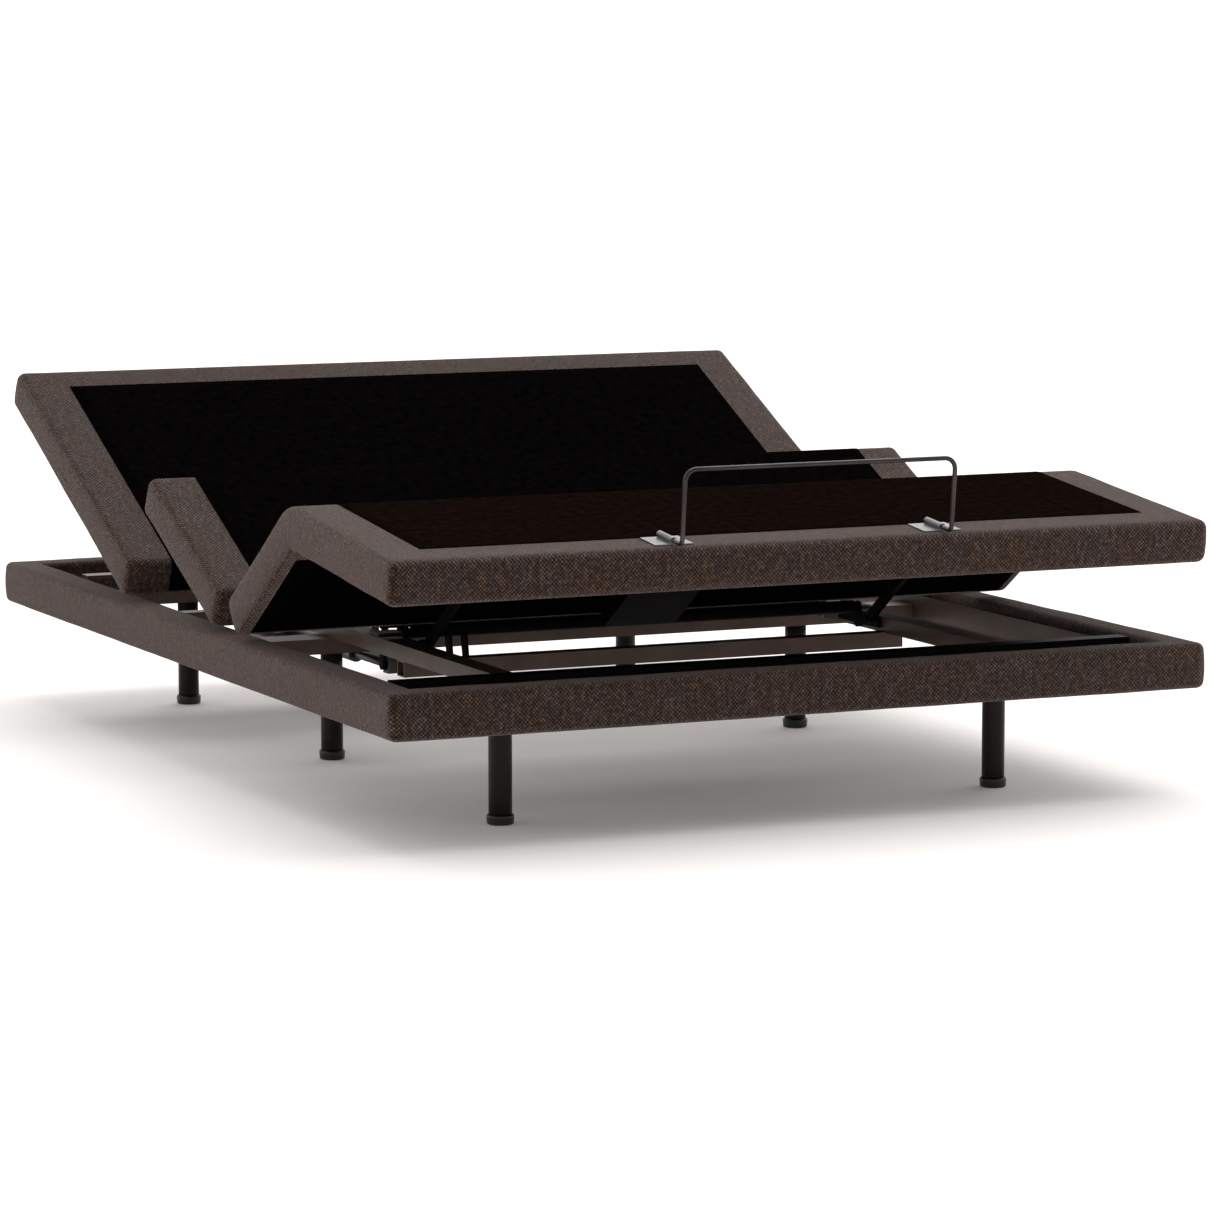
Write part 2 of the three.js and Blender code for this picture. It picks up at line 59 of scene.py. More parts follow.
# ---- sizes of the upholstery, in metres ----
HALF_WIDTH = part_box("rail_right")[1][0]
THICK = 76 * MM
EDGE_ROUND = 16 * MM
BORDER = 87 * MM
HEAD_BORDER = 70 * MM
UNDERSIDE = 12 * MM
FOOT_UNDERSIDE = 8 * MM
HEAD_SPAN = (-12 * MM, 708 * MM)
LUMBAR_SPAN = (-12 * MM, 390 * MM)
THIGH_LOW_END = 12 * MM
FOOT_END = -445 * MM
FOOT_SLOPE = 6
KNEE_ROUND = 92 * MM
MAT_THICK = 1.8 * MM
MAT_PROUD = 0.9 * MM
END_BULGE = 1.6 * MM

# ---- studio: camera, floor and light ----
CAMERA_PLACE = (-3.71006, -8.30226, 1.40255)
CAMERA_DOWN = 7.2019
CAMERA_TURN = -24.5186
CAMERA_LENS = 147.07
SENSOR_WIDTH = 36
FLOOR_HALF = 40
WORLD_LIGHT = 0.82
WORLD_SHADE_ACROSS = 0.02
WORLD_SHADE_ALONG = 0.44
BACKDROP_WHITE = 1.1
SUN_LIGHT = 2.1
SUN_SPREAD = 80
SUN_FROM = (0.50, 0.42, 1.0)


# ---- flat geometry in the side view: points are (y, z) ----
def hinge(name):
    x, y, z = JOINTS[name]["pos_m"]
    return (y, z)


def placed(origin, degrees, y, z):
    """A point given in a panel's own frame, in the side view of the bed."""
    a = math.radians(degrees)
    return (origin[0] + y * math.cos(a) - z * math.sin(a), origin[1] + y * math.sin(a) + z * math.cos(a))


def crossing(p, q, r, s):
    """Where the line through p and q meets the line through r and s."""
    d1 = (q[0] - p[0], q[1] - p[1])
    d2 = (s[0] - r[0], s[1] - r[1])
    det = d1[0] * d2[1] - d1[1] * d2[0]
    t = ((r[0] - p[0]) * d2[1] - (r[1] - p[1]) * d2[0]) / det
    return (p[0] + t * d1[0], p[1] + t * d1[1])


def unit(a, b):
    length = math.hypot(b[0] - a[0], b[1] - a[1])
    return ((b[0] - a[0]) / length, (b[1] - a[1]) / length)


def rounded_line(corners, radii, step, closed, inset=0.0, bulges=None, arc_points=7):
    """Points along a polygon or open line with rounded corners.

    inset moves a closed, anticlockwise outline inwards; the number of points stays the same.
    bulges pushes the middle of each side outwards, as padding does.
    """
    count = len(corners)
    sides = count if closed else count - 1
    ways = [unit(corners[i], corners[(i + 1) % count]) for i in range(sides)]
    moved = []
    for i, point in enumerate(corners):
        if not closed and i in (0, count - 1):
            moved.append(point)
            continue
        a, b = ways[i - 1], ways[i % sides]
        # the inward normal of a side that runs anticlockwise is its direction turned left
        p = (point[0] - a[1] * inset, point[1] + a[0] * inset)
        q = (point[0] - b[1] * inset, point[1] + b[0] * inset)
        moved.append(crossing(p, (p[0] + a[0], p[1] + a[1]), q, (q[0] + b[0], q[1] + b[1])))
    arcs = {}
    for i in range(count):
        if not closed and i in (0, count - 1):
            arcs[i] = [moved[i]]
            continue
        a, b = ways[i - 1], ways[i % sides]
        turn = math.atan2(a[0] * b[1] - a[1] * b[0], a[0] * b[0] + a[1] * b[1])
        radius = max(radii[i] - inset * math.copysign(1, turn), 1.0 * MM)
        reach = radius * math.tan(abs(turn) / 2)
        first = (moved[i][0] - a[0] * reach, moved[i][1] - a[1] * reach)
        side = math.copysign(1, turn)
        centre = (first[0] - a[1] * radius * side, first[1] + a[0] * radius * side)
        angle = math.atan2(first[1] - centre[1], first[0] - centre[0])
        pieces = arc_points * (3 if radii[i] > 40 * MM else 1)
        arcs[i] = [
            (
                centre[0] + radius * math.cos(angle + turn * k / pieces),
                centre[1] + radius * math.sin(angle + turn * k / pieces),
            )
            for k in range(pieces + 1)
        ]
    points = []
    for i in range(sides):
        points.extend(arcs[i])
        j = (i + 1) % count
        a, b = arcs[i][-1], arcs[j][0]
        plain = math.dist(corners[i], corners[j])
        cuts = max(int(plain / step), 2)
        bulge = bulges[i] if bulges else 0.0
        for k in range(1, cuts):
            t = k / cuts
            out = bulge * 4 * t * (1 - t)
            across = a[0] + (b[0] - a[0]) * t + ways[i][1] * out
            along = a[1] + (b[1] - a[1]) * t - ways[i][0] * out
            points.append((across, along))
    if not closed:
        points.extend(arcs[count - 1])
    return points


# ---- meshes ----
def mesh_object(name, vertices, faces, smooth=True):
    mesh = bpy.data.meshes.new(name)
    mesh.from_pydata(vertices, [], faces)
    mesh.update()
    work = bmesh.new()
    work.from_mesh(mesh)
    bmesh.ops.recalc_face_normals(work, faces=work.faces)
    work.to_mesh(mesh)
    work.free()
    for polygon in mesh.polygons:
        polygon.use_smooth = smooth
    piece = bpy.data.objects.new(name, mesh)
    bpy.context.scene.collection.objects.link(piece)
    return piece


def loft(name, rings, cap=True, wrap=False):
    """Skins rings of equal size. cap closes both ends, wrap joins the last ring to the first."""
    size = len(rings[0])
    vertices = [point for ring in rings for point in ring]
    faces = []
    spans = len(rings) if wrap else len(rings) - 1
    for r in range(spans):
        a, b = r * size, ((r + 1) % len(rings)) * size
        for k in range(size):
            n = (k + 1) % size
            faces.append((a + k, a + n, b + n, b + k))
    if cap:
        faces.append(tuple(range(size)))
        last = (len(rings) - 1) * size
        faces.append(tuple(last + k for k in reversed(range(size))))
    return mesh_object(name, vertices, faces)


def weave_map(piece, line_of):
    """Gives every corner cloth coordinates in metres: across the bed, and along the cloth."""
    mesh = piece.data
    layer = mesh.uv_layers.new(name="cloth")
    for polygon in mesh.polygons:
        normal = polygon.normal
        for loop in polygon.loop_indices:
            point = mesh.vertices[mesh.loops[loop].vertex_index].co
            layer.data[loop].uv = line_of(point, normal)


def soften(piece, amount, size, flat_within=0.0):
    """Small uneven swells, as cloth pulled over foam has, fading out over the middle where the mat lies."""
    mesh = piece.data
    normals = [vertex.normal.copy() for vertex in mesh.vertices]
    for vertex, normal in zip(mesh.vertices, normals):
        share = min(max((abs(vertex.co.x) - flat_within) / (30 * MM), 0.0), 1.0)
        swell = noise.noise(vertex.co / size) + 0.5 * noise.noise(vertex.co / (size * 0.37))
        vertex.co += normal * amount * swell * share


def padded_cover(name, corners, radii, bulges, degrees):
    """A padded slab: an outline in the side view carried across the bed, rounded at both sides."""
    w, r = HALF_WIDTH, EDGE_ROUND
    stations = [(w + 1.6 * MM, r + 19 * MM), (w + 1.2 * MM, r + 9 * MM)]
    for k in range(7):
        angle = math.radians(90 * k / 6)
        stations.append((w - r + r * math.cos(angle), r - r * math.sin(angle)))
    inner = w - r
    middle = [(inner * (1 - 2 * k / 52), 0.0) for k in range(1, 52)]
    stations = stations + middle + [(-x, inset) for x, inset in reversed(stations)]
    rings = []
    for x, inset in stations:
        line = rounded_line(corners, radii, 19 * MM, True, inset, bulges if inset < r else None)
        rings.append([(x, y, z) for y, z in line])
    cover = loft(name, rings)
    soften(cover, 1.1 * MM, 0.14, HALF_WIDTH - BORDER)
    a = math.radians(degrees)

    def cloth(point, normal):
        along = point.y * math.cos(a) + point.z * math.sin(a)
        up = -point.y * math.sin(a) + point.z * math.cos(a)
        if abs(normal.x) > 0.7:
            return (along, up)
        if abs(-normal.y * math.sin(a) + normal.z * math.cos(a)) > 0.7:
            return (point.x, along)
        return (point.x, up)

    weave_map(cover, cloth)
    return cover


def strip(name, line, half_width, thick, proud):
    """A flat strip of cloth laid along a line in the side view, standing proud of it."""
    rings = []
    count = len(line)
    for i, (y, z) in enumerate(line):
        before, after = line[max(i - 1, 0)], line[min(i + 1, count - 1)]
        way = unit(before, after)
        out = (way[1], -way[0])
        ring = []
        across = 40
        for k in range(across + 1):
            x = half_width * (1 - 2 * k / across)
            ring.append((x, y + out[0] * proud, z + out[1] * proud))
        for k in range(across + 1):
            x = half_width * (2 * k / across - 1)
            ring.append((x, y + out[0] * (proud - thick), z + out[1] * (proud - thick)))
        rings.append(ring)
    piece = loft(name, rings)

    def cloth(point, normal):
        return (point.x, point.y * 0.9 + point.z * 0.45)

    weave_map(piece, cloth)
    return piece


def lathe(name, profile, x, y, turns=48):
    """A turned piece: a closed profile of (radius, height) carried round a vertical axis."""
    rings = []
    for k in range(turns):
        a = 2 * math.pi * k / turns
        rings.append([(x + r * math.cos(a), y + r * math.sin(a), z) for r, z in profile])
    return loft(name, rings, cap=False, wrap=True)


# ---- materials ----
def shader(name):
    material = bpy.data.materials.new(name)
    material.use_nodes = True
    tree = material.node_tree
    return material, tree, tree.nodes["Principled BSDF"]


def node(tree, kind, **settings):
    made = tree.nodes.new(kind)
    for key, value in settings.items():
        setattr(made, key, value)
    return made


def maths(tree, operation, a, b=None, c=None):
    made = tree.nodes.new("ShaderNodeMath")
    made.operation = operation
    for socket, value in zip(made.inputs, (a, b, c)):
        if value is None:
            continue
        if isinstance(value, (int, float)):
            socket.default_value = value
        else:
            tree.links.new(value, socket)
    return made.outputs[0]


def ramp(tree, factor, *stops):
    made = tree.nodes.new("ShaderNodeValToRGB")
    elements = made.color_ramp.elements
    while len(elements) < len(stops):
        elements.new(0.5)
    for element, (position, colour) in zip(elements, stops):
        element.position = position
        element.color = (*colour, 1)
    tree.links.new(factor, made.inputs[0])
    return made.outputs[0]


def stretched_noise(tree, coordinates, scale, stretch, detail=3.0):
    mapping = tree.nodes.new("ShaderNodeMapping")
    mapping.inputs["Scale"].default_value = stretch
    tree.links.new(coordinates, mapping.inputs["Vector"])
    made = node(tree, "ShaderNodeTexNoise")
    made.inputs["Scale"].default_value = scale
    made.inputs["Detail"].default_value = detail
    tree.links.new(mapping.outputs[0], made.inputs["Vector"])
    return made.outputs["Fac"]


def mixed(tree, factor, a, b):
    made = tree.nodes.new("ShaderNodeMix")
    made.data_type = "RGBA"
    for socket, value in ((made.inputs[0], factor), (made.inputs[6], a), (made.inputs[7], b)):
        if isinstance(value, (int, float)):
            socket.default_value = value
        elif isinstance(value, tuple):
            socket.default_value = (*value, 1)
        else:
            tree.links.new(value, socket)
    return made.outputs[2]


def bumped(tree, surface, height, strength, distance):
    bump = node(tree, "ShaderNodeBump")
    bump.inputs["Strength"].default_value = strength
    bump.inputs["Distance"].default_value = distance
    tree.links.new(height, bump.inputs["Height"])
    tree.links.new(bump.outputs[0], surface.inputs["Normal"])


def tweed():
    """Weave of small diamonds, 7 mm to the repeat, in mixed brown yarns."""
    material, tree, surface = shader("tweed")
    repeat = 7 * MM
    cloth = node(tree, "ShaderNodeUVMap", uv_map="cloth").outputs[0]
    wobble = node(tree, "ShaderNodeTexNoise")
    wobble.inputs["Scale"].default_value = 90
    tree.links.new(cloth, wobble.inputs["Vector"])
    split = node(tree, "ShaderNodeSeparateXYZ")
    tree.links.new(cloth, split.inputs[0])
    drift = maths(tree, "MULTIPLY", maths(tree, "SUBTRACT", wobble.outputs["Fac"], 0.5), repeat * 0.5)
    u = maths(tree, "ADD", split.outputs[0], drift)
    v = maths(tree, "SUBTRACT", split.outputs[1], drift)
    turn = 2 * math.pi / repeat
    across = maths(tree, "SINE", maths(tree, "MULTIPLY", u, turn))
    along = maths(tree, "SINE", maths(tree, "MULTIPLY", v, turn))
    diamond = maths(tree, "MULTIPLY_ADD", maths(tree, "MULTIPLY", across, along), 0.5, 0.5)
    fine = maths(tree, "SINE", maths(tree, "MULTIPLY", u, turn * 6.0))
    height = maths(tree, "MULTIPLY_ADD", fine, 0.12, diamond)
    streaks = stretched_noise(tree, cloth, 1.0, (120, 30, 1), 3.0)
    flecks = stretched_noise(tree, cloth, 1.0, (150, 150, 1), 3.0)
    bands = stretched_noise(tree, cloth, 1.0, (26, 5, 1), 2.0)
    yarn = maths(tree, "MULTIPLY_ADD", streaks, 0.35, maths(tree, "MULTIPLY", flecks, 0.65))
    warm = ramp(
        tree,
        yarn,
        (0.38, (0.020, 0.009, 0.005)),
        (0.50, (0.062, 0.029, 0.016)),
        (0.62, (0.150, 0.080, 0.047)),
    )
    cool = ramp(
        tree,
        yarn,
        (0.38, (0.019, 0.011, 0.009)),
        (0.50, (0.057, 0.035, 0.030)),
        (0.62, (0.138, 0.092, 0.080)),
    )
    light = mixed(tree, ramp(tree, bands, (0.40, (0, 0, 0)), (0.60, (1, 1, 1))), warm, cool)
    dark = ramp(tree, yarn, (0.36, (0.005, 0.0032, 0.003)), (0.66, (0.014, 0.008, 0.006)))
    sharp = maths(tree, "MULTIPLY_ADD", diamond, 2.6, -0.75)
    crossed = node(tree, "ShaderNodeClamp")
    tree.links.new(sharp, crossed.inputs[0])
    colour = mixed(tree, crossed.outputs[0], dark, light)
    tree.links.new(colour, surface.inputs["Base Color"])
    surface.inputs["Roughness"].default_value = 0.92
    surface.inputs["Specular IOR Level"].default_value = 0.2
    surface.inputs["Sheen Weight"].default_value = 0.45
    surface.inputs["Sheen Roughness"].default_value = 0.35
    surface.inputs["Sheen Tint"].default_value = (0.70, 0.58, 0.55, 1)
    bumped(tree, surface, height, 1.0, 1.6 * MM)
    return material


def black_cloth(name, low, high, pitch):
    """Thin cloth with fine cross ribs, as the non-slip mats and the dust cover have."""
    material, tree, surface = shader(name)
    cloth = node(tree, "ShaderNodeUVMap", uv_map="cloth").outputs[0]
    split = node(tree, "ShaderNodeSeparateXYZ")
    tree.links.new(cloth, split.inputs[0])
    turn = 2 * math.pi / pitch
    across = maths(tree, "SINE", maths(tree, "MULTIPLY", split.outputs[0], turn))
    along = maths(tree, "SINE", maths(tree, "MULTIPLY", split.outputs[1], turn))
    height = maths(tree, "MULTIPLY", across, along)
    nap = stretched_noise(tree, cloth, 1.0, (60, 60, 1), 4.0)
    tree.links.new(ramp(tree, nap, (0.3, low), (0.7, high)), surface.inputs["Base Color"])
    surface.inputs["Roughness"].default_value = 0.95
    surface.inputs["Specular IOR Level"].default_value = 0.0
    bumped(tree, surface, height, 0.35, 0.4 * MM)
    return material


def metal(name, dark, light, metallic, roughness, grain, gloss=0.5):
    """Painted or brushed metal with a faint uneven finish."""
    material, tree, surface = shader(name)
    place = node(tree, "ShaderNodeTexCoord").outputs["Object"]
    cloudy = stretched_noise(tree, place, 1.0, (14, 14, 14), 4.0)
    fine = stretched_noise(tree, place, 1.0, grain, 2.0)
    tree.links.new(ramp(tree, cloudy, (0.3, dark), (0.7, light)), surface.inputs["Base Color"])
    rough = maths(tree, "MULTIPLY_ADD", fine, 0.16, roughness - 0.08)
    tree.links.new(rough, surface.inputs["Roughness"])
    surface.inputs["Metallic"].default_value = metallic
    surface.inputs["Specular IOR Level"].default_value = gloss
    bumped(tree, surface, fine, 0.12, 0.15 * MM)
    return material


def ply():
    """Rotary-cut plywood with long grain across the bed."""
    material, tree, surface = shader("raw_plywood")
    place = node(tree, "ShaderNodeTexCoord").outputs["Object"]
    grain = stretched_noise(tree, place, 1.0, (3, 60, 60), 5.0)
    colour = ramp(tree, grain, (0.3, (0.13, 0.07, 0.035)), (0.7, (0.26, 0.15, 0.08)))
    tree.links.new(colour, surface.inputs["Base Color"])
    surface.inputs["Roughness"].default_value = 0.75
    bumped(tree, surface, grain, 0.2, 0.3 * MM)
    return material


TWEED = tweed()
HEAD_MAT = black_cloth("black_mat_cloth", (0.0012, 0.0010, 0.0010), (0.0030, 0.0022, 0.0022), 2.6 * MM)
LEG_MAT = black_cloth("brown_black_mat_cloth", (0.0035, 0.0018, 0.0014), (0.0085, 0.0045, 0.0036), 2.6 * MM)
LINING = black_cloth("dust_cloth", (0.0010, 0.0008, 0.0008), (0.0022, 0.0018, 0.0016), 1.6 * MM)
POWDER_GRAIN = (900, 900, 900)
BROWN_LOW, BROWN_HIGH = (0.070, 0.045, 0.035), (0.098, 0.064, 0.050)
# a near-black copy of the frame's powder coat: painted shade for the parts that sit under the panels
SHADE_COAT_LOW, SHADE_COAT_HIGH = (0.0025, 0.002, 0.002), (0.005, 0.004, 0.004)
LACQUER_LOW, LACQUER_HIGH = (0.006, 0.003, 0.003), (0.011, 0.006, 0.005)
PAINT = metal("dark_powder_coat", BROWN_LOW, BROWN_HIGH, 0.15, 0.42, POWDER_GRAIN, 0.25)
SHADE_DARK_COAT = metal("frame_coat_painted_shade", SHADE_COAT_LOW, SHADE_COAT_HIGH, 0.0, 0.5, POWDER_GRAIN, 0.02)
LEG_PAINT = metal("leg_lacquer", LACQUER_LOW, LACQUER_HIGH, 0.0, 0.36, (500, 500, 900), 0.16)
PLATE_STEEL = metal("brushed_plate", (0.13, 0.123, 0.12), (0.19, 0.18, 0.176), 1.0, 0.42, (80, 1200, 400))
ROD_STEEL = metal("dark_rod_steel", (0.035, 0.030, 0.030), (0.060, 0.052, 0.050), 0.9, 0.34, (300, 300, 300))
PLASTIC = metal("moulded_plastic", (0.006, 0.006, 0.006), (0.011, 0.010, 0.010), 0.0, 0.38, (700, 700, 700))
PLYWOOD = ply()


def dress(piece, material, body):
    piece.data.materials.clear()
    piece.data.materials.append(material)
    if body:
        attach(piece, body)
    return piece


# ---- camera, floor and light ----
def studio():
    camera = bpy.data.objects.new("camera", bpy.data.cameras.new("camera"))
    bpy.context.scene.collection.objects.link(camera)
    camera.data.lens = CAMERA_LENS
    camera.data.sensor_width = SENSOR_WIDTH
    camera.data.clip_end = 100
    camera.location = CAMERA_PLACE
    camera.rotation_euler = (math.radians(90 - CAMERA_DOWN), 0, math.radians(CAMERA_TURN))
    bpy.context.scene.camera = camera

    floor_mesh = bpy.data.meshes.new("floor")
    size = FLOOR_HALF
    edge = [(-size, -size, 0), (size, -size, 0), (size, size, 0), (-size, size, 0)]
    floor_mesh.from_pydata(edge, [], [(0, 1, 2, 3)])
    floor = bpy.data.objects.new("floor", floor_mesh)
    bpy.context.scene.collection.objects.link(floor)
    material, tree, surface = shader("pale_floor")
    surface.inputs["Base Color"].default_value = (0.95, 0.915, 0.90, 1)
    surface.inputs["Roughness"].default_value = 0.9
    surface.inputs["Specular IOR Level"].default_value = 0.05
    surface.inputs["Emission Color"].default_value = (1.0, 0.95, 0.92, 1)
    surface.inputs["Emission Strength"].default_value = 0.08
    floor_mesh.materials.append(material)

    world = bpy.data.worlds.new("studio")
    world.use_nodes = True
    tree = world.node_tree
    background = tree.nodes["Background"]
    # the backdrop is seen plain white, while the light it gives is weak from the foot end
    ways = tree.nodes.new("ShaderNodeTexCoord")
    split = tree.nodes.new("ShaderNodeSeparateXYZ")
    tree.links.new(ways.outputs["Generated"], split.inputs[0])
    lengthwise = maths(tree, "MULTIPLY", split.outputs[1], WORLD_SHADE_ALONG)
    lean = maths(tree, "MULTIPLY_ADD", split.outputs[0], WORLD_SHADE_ACROSS, lengthwise)
    glow = maths(tree, "MAXIMUM", maths(tree, "ADD", lean, WORLD_LIGHT), 0.04)
    seen = tree.nodes.new("ShaderNodeLightPath").outputs["Is Camera Ray"]
    strength = maths(tree, "MAXIMUM", glow, maths(tree, "MULTIPLY", seen, BACKDROP_WHITE))
    tree.links.new(strength, background.inputs[1])
    background.inputs[0].default_value = (1, 1, 1, 1)
    bpy.context.scene.world = world
    bpy.context.scene.view_settings.view_transform = "Standard"

    sun = bpy.data.lights.new("skylight", "SUN")
    sun.energy = SUN_LIGHT
    sun.angle = math.radians(SUN_SPREAD)
    lamp = bpy.data.objects.new("skylight", sun)
    lamp.rotation_euler = (-Vector(SUN_FROM)).to_track_quat("-Z", "Y").to_euler()
    bpy.context.scene.collection.objects.link(lamp)


# ---- upholstery ----
def rail_cover():
    """One cloth sleeve all round the lower frame, with rounded upright corners."""
    low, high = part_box("rail_left")
    right_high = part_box("rail_right")[1]
    bottom, top = low[2], high[2]
    corners = [
        (low[0], low[1]),
        (right_high[0], low[1]),
        (right_high[0], right_high[1]),
        (low[0], right_high[1]),
    ]
    width = high[0] - low[0]
    section = rounded_line(
        [(0, bottom), (width, bottom), (width, top), (0, top)],
        [13 * MM] * 4,
        13 * MM,
        True,
        0.0,
        [0.3 * MM, 0.8 * MM, 0.8 * MM, 1.6 * MM],
        6,
    )
    rings = []
    for inset, z in section:
        line = rounded_line(corners, [19 * MM] * 4, 34 * MM, True, inset)
        rings.append([(x, y, z) for x, y in line])
    cover = loft("lower_frame_cover", rings, cap=False, wrap=True)
    soften(cover, 0.7 * MM, 0.13)

    def cloth(point, normal):
        if abs(normal.z) > 0.7:
            return (point.x, point.y)
        if abs(normal.x) > 0.7:
            return (point.y, point.z)
        return (point.x, point.z)

    weave_map(cover, cloth)
    dress(cover, TWEED, "frame")
    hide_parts("rail_left", "rail_right", "rail_foot", "rail_head")


def slab_corners(origin, degrees, span, underside):
    y0, y1 = span
    z0, z1 = underside, underside + THICK
    return [placed(origin, degrees, y, z) for y, z in ((y0, z0), (y1, z0), (y1, z1), (y0, z1))]


def mat_line(origin, degrees, points, radius=17 * MM):
    """The line that a mat follows, from points in the panel's own frame."""
    corners = [placed(origin, degrees, y, z) for y, z in points]
    return rounded_line(corners, [radius] * len(corners), 20 * MM, False)


def flat_panel(name, joint, span, border_at_head):
    origin = hinge(joint)
    degrees = -JOINTS[joint]["range_deg"][0]
    body = f"{name}_section"
    corners = slab_corners(origin, degrees, span, UNDERSIDE)
    # an end that the mat wraps stays flat, so that the mat lies on it evenly
    bulges = [0, END_BULGE if border_at_head else 0, 0, 0]
    cover = padded_cover(f"{name}_tweed", corners, [17 * MM] * 4, bulges, degrees)
    dress(cover, TWEED, body)
    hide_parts(f"{name}_cover")
    y0, y1 = span
    top, bottom = UNDERSIDE + THICK, UNDERSIDE
    # lines run from the head end to the low end, so that their outer side faces up
    start = [(y1 - HEAD_BORDER, top)] if border_at_head else [(y1, bottom + 14 * MM), (y1, top)]
    line = mat_line(origin, degrees, start + [(y0, top), (y0, bottom + 14 * MM)])
    mat = strip(f"{name}_black_mat", line, HALF_WIDTH - BORDER, MAT_THICK, -MAT_PROUD + MAT_THICK)
    dress(mat, HEAD_MAT, body)
    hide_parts(f"{name}_mat")
    margin = 24 * MM
    under = mat_line(origin, degrees, [(y0 + margin, bottom), (y1 - margin, bottom)])
    lining = strip(f"{name}_dust_cloth", under, HALF_WIDTH - margin, 1.2 * MM, 1.0 * MM)
    dress(lining, LINING, body)


def leg_panel():
    """Thigh and foot sections under one cover that runs on over the knee."""
    hip, knee = hinge("thigh_lift"), hinge("knee_fold")
    thigh = JOINTS["thigh_lift"]["range_deg"][0]
    top, foot_top = UNDERSIDE + THICK, FOOT_UNDERSIDE + THICK
    hip_low = placed(hip, thigh, THIGH_LOW_END, UNDERSIDE)
    hip_high = placed(hip, thigh, THIGH_LOW_END, top)
    foot_low = placed(knee, FOOT_SLOPE, FOOT_END, FOOT_UNDERSIDE)
    foot_high = placed(knee, FOOT_SLOPE, FOOT_END, foot_top)
    thigh_underside = placed(hip, thigh, -1, UNDERSIDE)
    foot_underside = placed(knee, FOOT_SLOPE, 0, FOOT_UNDERSIDE)
    knee_under = crossing(hip_low, thigh_underside, foot_low, foot_underside)
    thigh_face = placed(hip, thigh, -1, top)
    foot_face = placed(knee, FOOT_SLOPE, 0, foot_top)
    knee_over = crossing(hip_high, thigh_face, foot_high, foot_face)
    corners = [foot_low, knee_under, hip_low, hip_high, knee_over, foot_high]
    radii = [17 * MM, 10 * MM, 22 * MM, 22 * MM, KNEE_ROUND, 17 * MM]
    bulges = [0, 0, 0, 0, 0, END_BULGE]
    cover = padded_cover("leg_tweed", corners, radii, bulges, FOOT_SLOPE)
    cover.data.materials.clear()
    cover.data.materials.append(TWEED)
    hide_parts("thigh_cover", "foot_cover")
    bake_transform(cover)

    hip_end = placed(hip, thigh, THIGH_LOW_END, UNDERSIDE + 16 * MM)
    border = placed(knee, FOOT_SLOPE, FOOT_END + BORDER, foot_top)
    line = rounded_line([hip_end, hip_high, knee_over, border], [0, 22 * MM, KNEE_ROUND, 0], 16 * MM, False)
    mat = strip("leg_black_mat", line, HALF_WIDTH - BORDER, MAT_THICK, -MAT_PROUD + MAT_THICK)
    mat.data.materials.append(LEG_MAT)
    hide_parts("thigh_mat", "foot_mat")
    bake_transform(mat)

    margin = 24 * MM
    thigh_under = mat_line(hip, thigh, [(-280 * MM, UNDERSIDE), (THIGH_LOW_END - margin, UNDERSIDE)])
    lining = strip("thigh_dust_cloth", thigh_under, HALF_WIDTH - margin, 1.2 * MM, 1.0 * MM)
    dress(lining, LINING, "thigh_section")
    foot_ends = [(FOOT_END + margin, FOOT_UNDERSIDE), (-22 * MM, FOOT_UNDERSIDE)]
    foot_under = mat_line(knee, FOOT_SLOPE, foot_ends)
    lining = strip("foot_dust_cloth", foot_under, HALF_WIDTH - margin, 1.2 * MM, 1.0 * MM)
    dress(lining, LINING, "foot_section")


# ---- metalwork ----
def legs():
    for row in ("foot", "middle", "head"):
        for side in ("left", "right"):
            node_name = f"leg_{row}_{side}"
            low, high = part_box(node_name)
            x, y = (low[0] + high[0]) / 2, (low[1] + high[1]) / 2
            radius = (high[0] - low[0]) / 2
            top = high[2] - 22 * MM
            shank = [(0.1 * MM, low[2]), (radius - 1 * MM, low[2]), (radius, low[2] + 1 * MM)]
            shank += [(radius, low[2] + (top - low[2]) * k / 6) for k in range(1, 6)]
            shank += [(radius, top - 1.2 * MM), (radius - 1.2 * MM, top), (0.1 * MM, top)]
            leg = lathe(f"turned_{node_name}", shank, x, y)
            dress(leg, LEG_PAINT, "frame")
            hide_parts(node_name)
            cup_low, cup_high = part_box(f"leg_glide_{row}_{side}")
            r, h = (cup_high[0] - cup_low[0]) / 2, cup_high[2]
            inner = radius + 0.3 * MM
            cup = [(0.1 * MM, 0), (r - 3 * MM, 0), (r - 1 * MM, 1 * MM), (r, 3.4 * MM)]
            cup += [(r, h * 0.5), (r + 0.5 * MM, h * 0.55), (r + 0.5 * MM, h - 2.4 * MM)]
            cup += [(r - 0.2 * MM, h - 0.7 * MM), (r - 1.2 * MM, h), (inner, h - 0.2 * MM)]
            cup += [(inner, 6 * MM), (0.1 * MM, 6 * MM)]
            glide = lathe(f"glide_{row}_{side}", cup, x, y)
            dress(glide, PLASTIC, "frame")
            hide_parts(f"leg_glide_{row}_{side}")


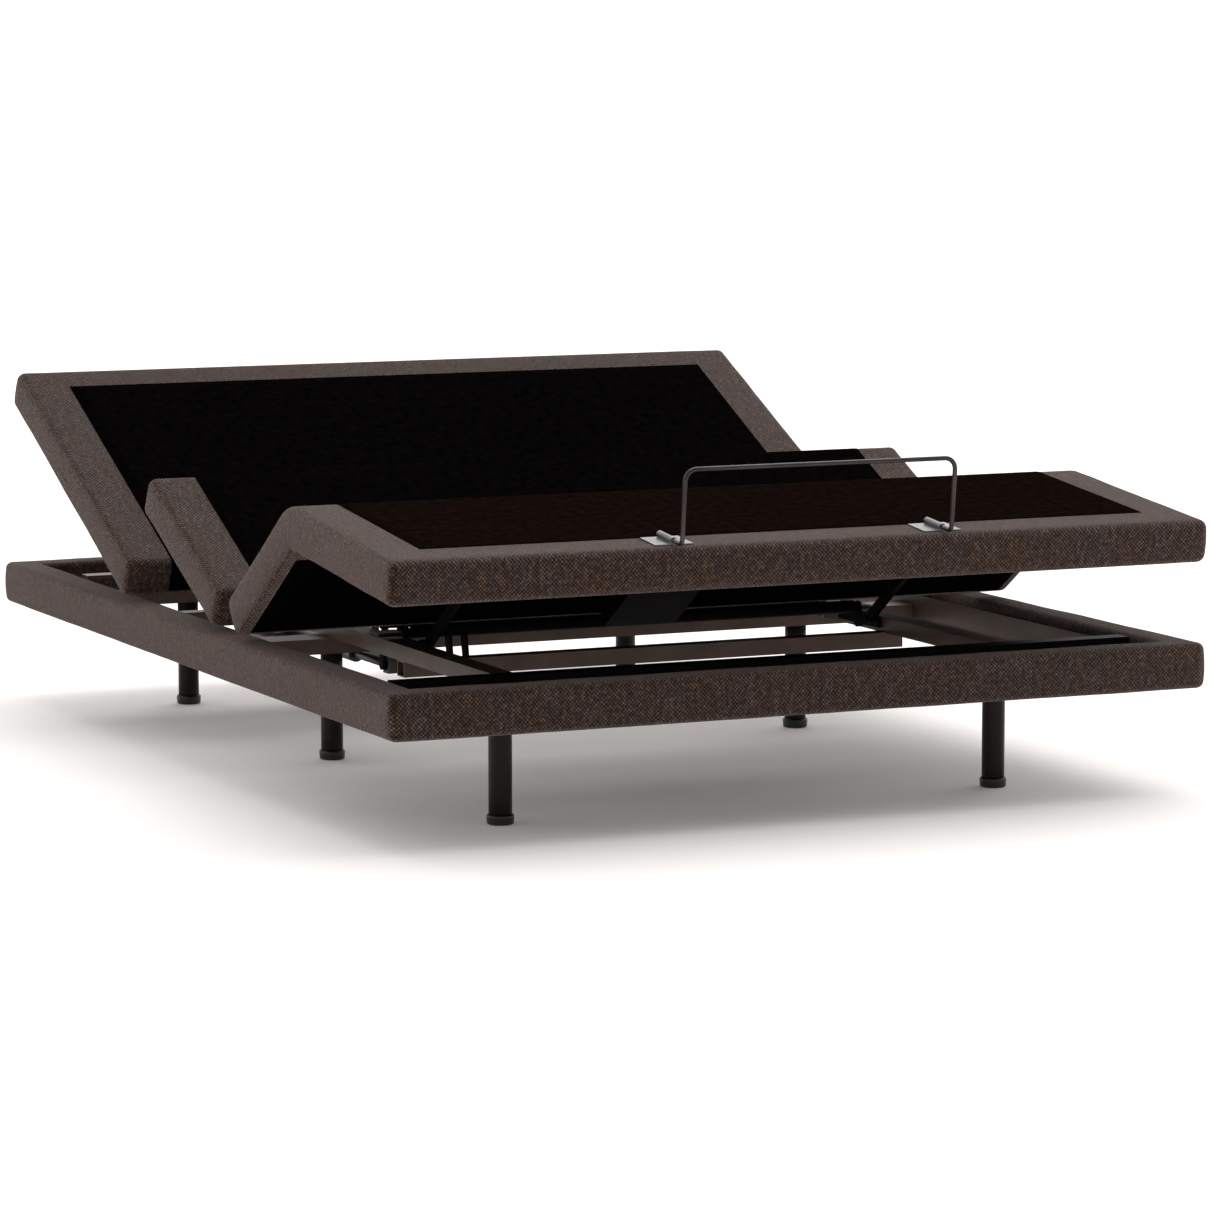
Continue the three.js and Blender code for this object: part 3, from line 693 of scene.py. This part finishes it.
def retainer_bar():
    """The bent rod that stops the mattress, drawn as one smooth tube."""
    knee = hinge("knee_fold")
    span, rod, rise, corner, tail = 250 * MM, 4 * MM, 125 * MM, 20 * MM, 78 * MM
    axis = FOOT_UNDERSIDE + THICK + rod + 3.4 * MM
    post = FOOT_END - rod - 4 * MM
    loop = [(-span, 0), (-span, rise), (span, rise), (span, 0)]
    upright = rounded_line(loop, [0, corner, corner, 0], 25 * MM, False)
    bend = 9 * MM
    local = [(-span, post + tail - 14 * MM * k, axis) for k in range(5)]
    quarter = [math.radians(90 * k / 6) for k in range(7)]
    local += [(-span, post + bend - bend * math.sin(a), axis + bend - bend * math.cos(a)) for a in quarter]
    local += [(x, post, axis + z) for x, z in upright if z > bend + 1 * MM]
    falling = reversed(quarter)
    local += [(span, post + bend - bend * math.sin(a), axis + bend - bend * math.cos(a)) for a in falling]
    local += [(span, post + tail - 14 * MM * k, axis) for k in reversed(range(5))]
    curve = bpy.data.curves.new("mattress_retainer", "CURVE")
    curve.dimensions = "3D"
    curve.bevel_depth = rod
    curve.bevel_resolution = 6
    curve.use_fill_caps = True
    spline = curve.splines.new("POLY")
    spline.points.add(len(local) - 1)
    for point, (x, y, z) in zip(spline.points, local):
        py, pz = placed(knee, FOOT_SLOPE, y, z)
        point.co = (x, py, pz, 1)
    draft = bpy.data.objects.new("retainer_draft", curve)
    bpy.context.scene.collection.objects.link(draft)
    bpy.context.view_layer.update()
    mesh = bpy.data.meshes.new_from_object(draft.evaluated_get(bpy.context.evaluated_depsgraph_get()))
    bpy.data.objects.remove(draft)
    mesh.name = "mattress_retainer"
    for polygon in mesh.polygons:
        polygon.use_smooth = True
    bar = bpy.data.objects.new("mattress_retainer", mesh)
    bpy.context.scene.collection.objects.link(bar)
    dress(bar, ROD_STEEL, "retainer")
    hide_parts("retainer_bar")


def dress_cad_nodes():
    """Better materials on the carried-over parts, by the record's slots; parts in shade under the panels get a
    near-black copy of the frame coat as painted shade.
    """
    looks = {"black_steel": PAINT, "bright_steel": ROD_STEEL, "black_plastic": PLASTIC, "plywood": PLYWOOD}
    slots = {part["node"]: part["material_slot"] for part in frame["record"]["subparts"]}
    # the lift frames, foot links, carriage and foot end tube sit in shade under the panels; their near-black copy
    # of the coat is painted shade
    nodes_in_shade = ("leg_carriage", "foot_end_tube")
    for name, piece in frame["nodes"].items():
        look = PLATE_STEEL if name.startswith("retainer_plate") else looks.get(slots[name])
        if name.endswith("_lift_frame") or name.startswith("foot_link") or name in nodes_in_shade:
            look = SHADE_DARK_COAT
        if look:
            for place in piece.material_slots:
                place.material = look


studio()
rail_cover()
flat_panel("head", "head_lift", HEAD_SPAN, True)
flat_panel("lumbar", "lumbar_lift", LUMBAR_SPAN, False)
leg_panel()
legs()
retainer_bar()
dress_cad_nodes()
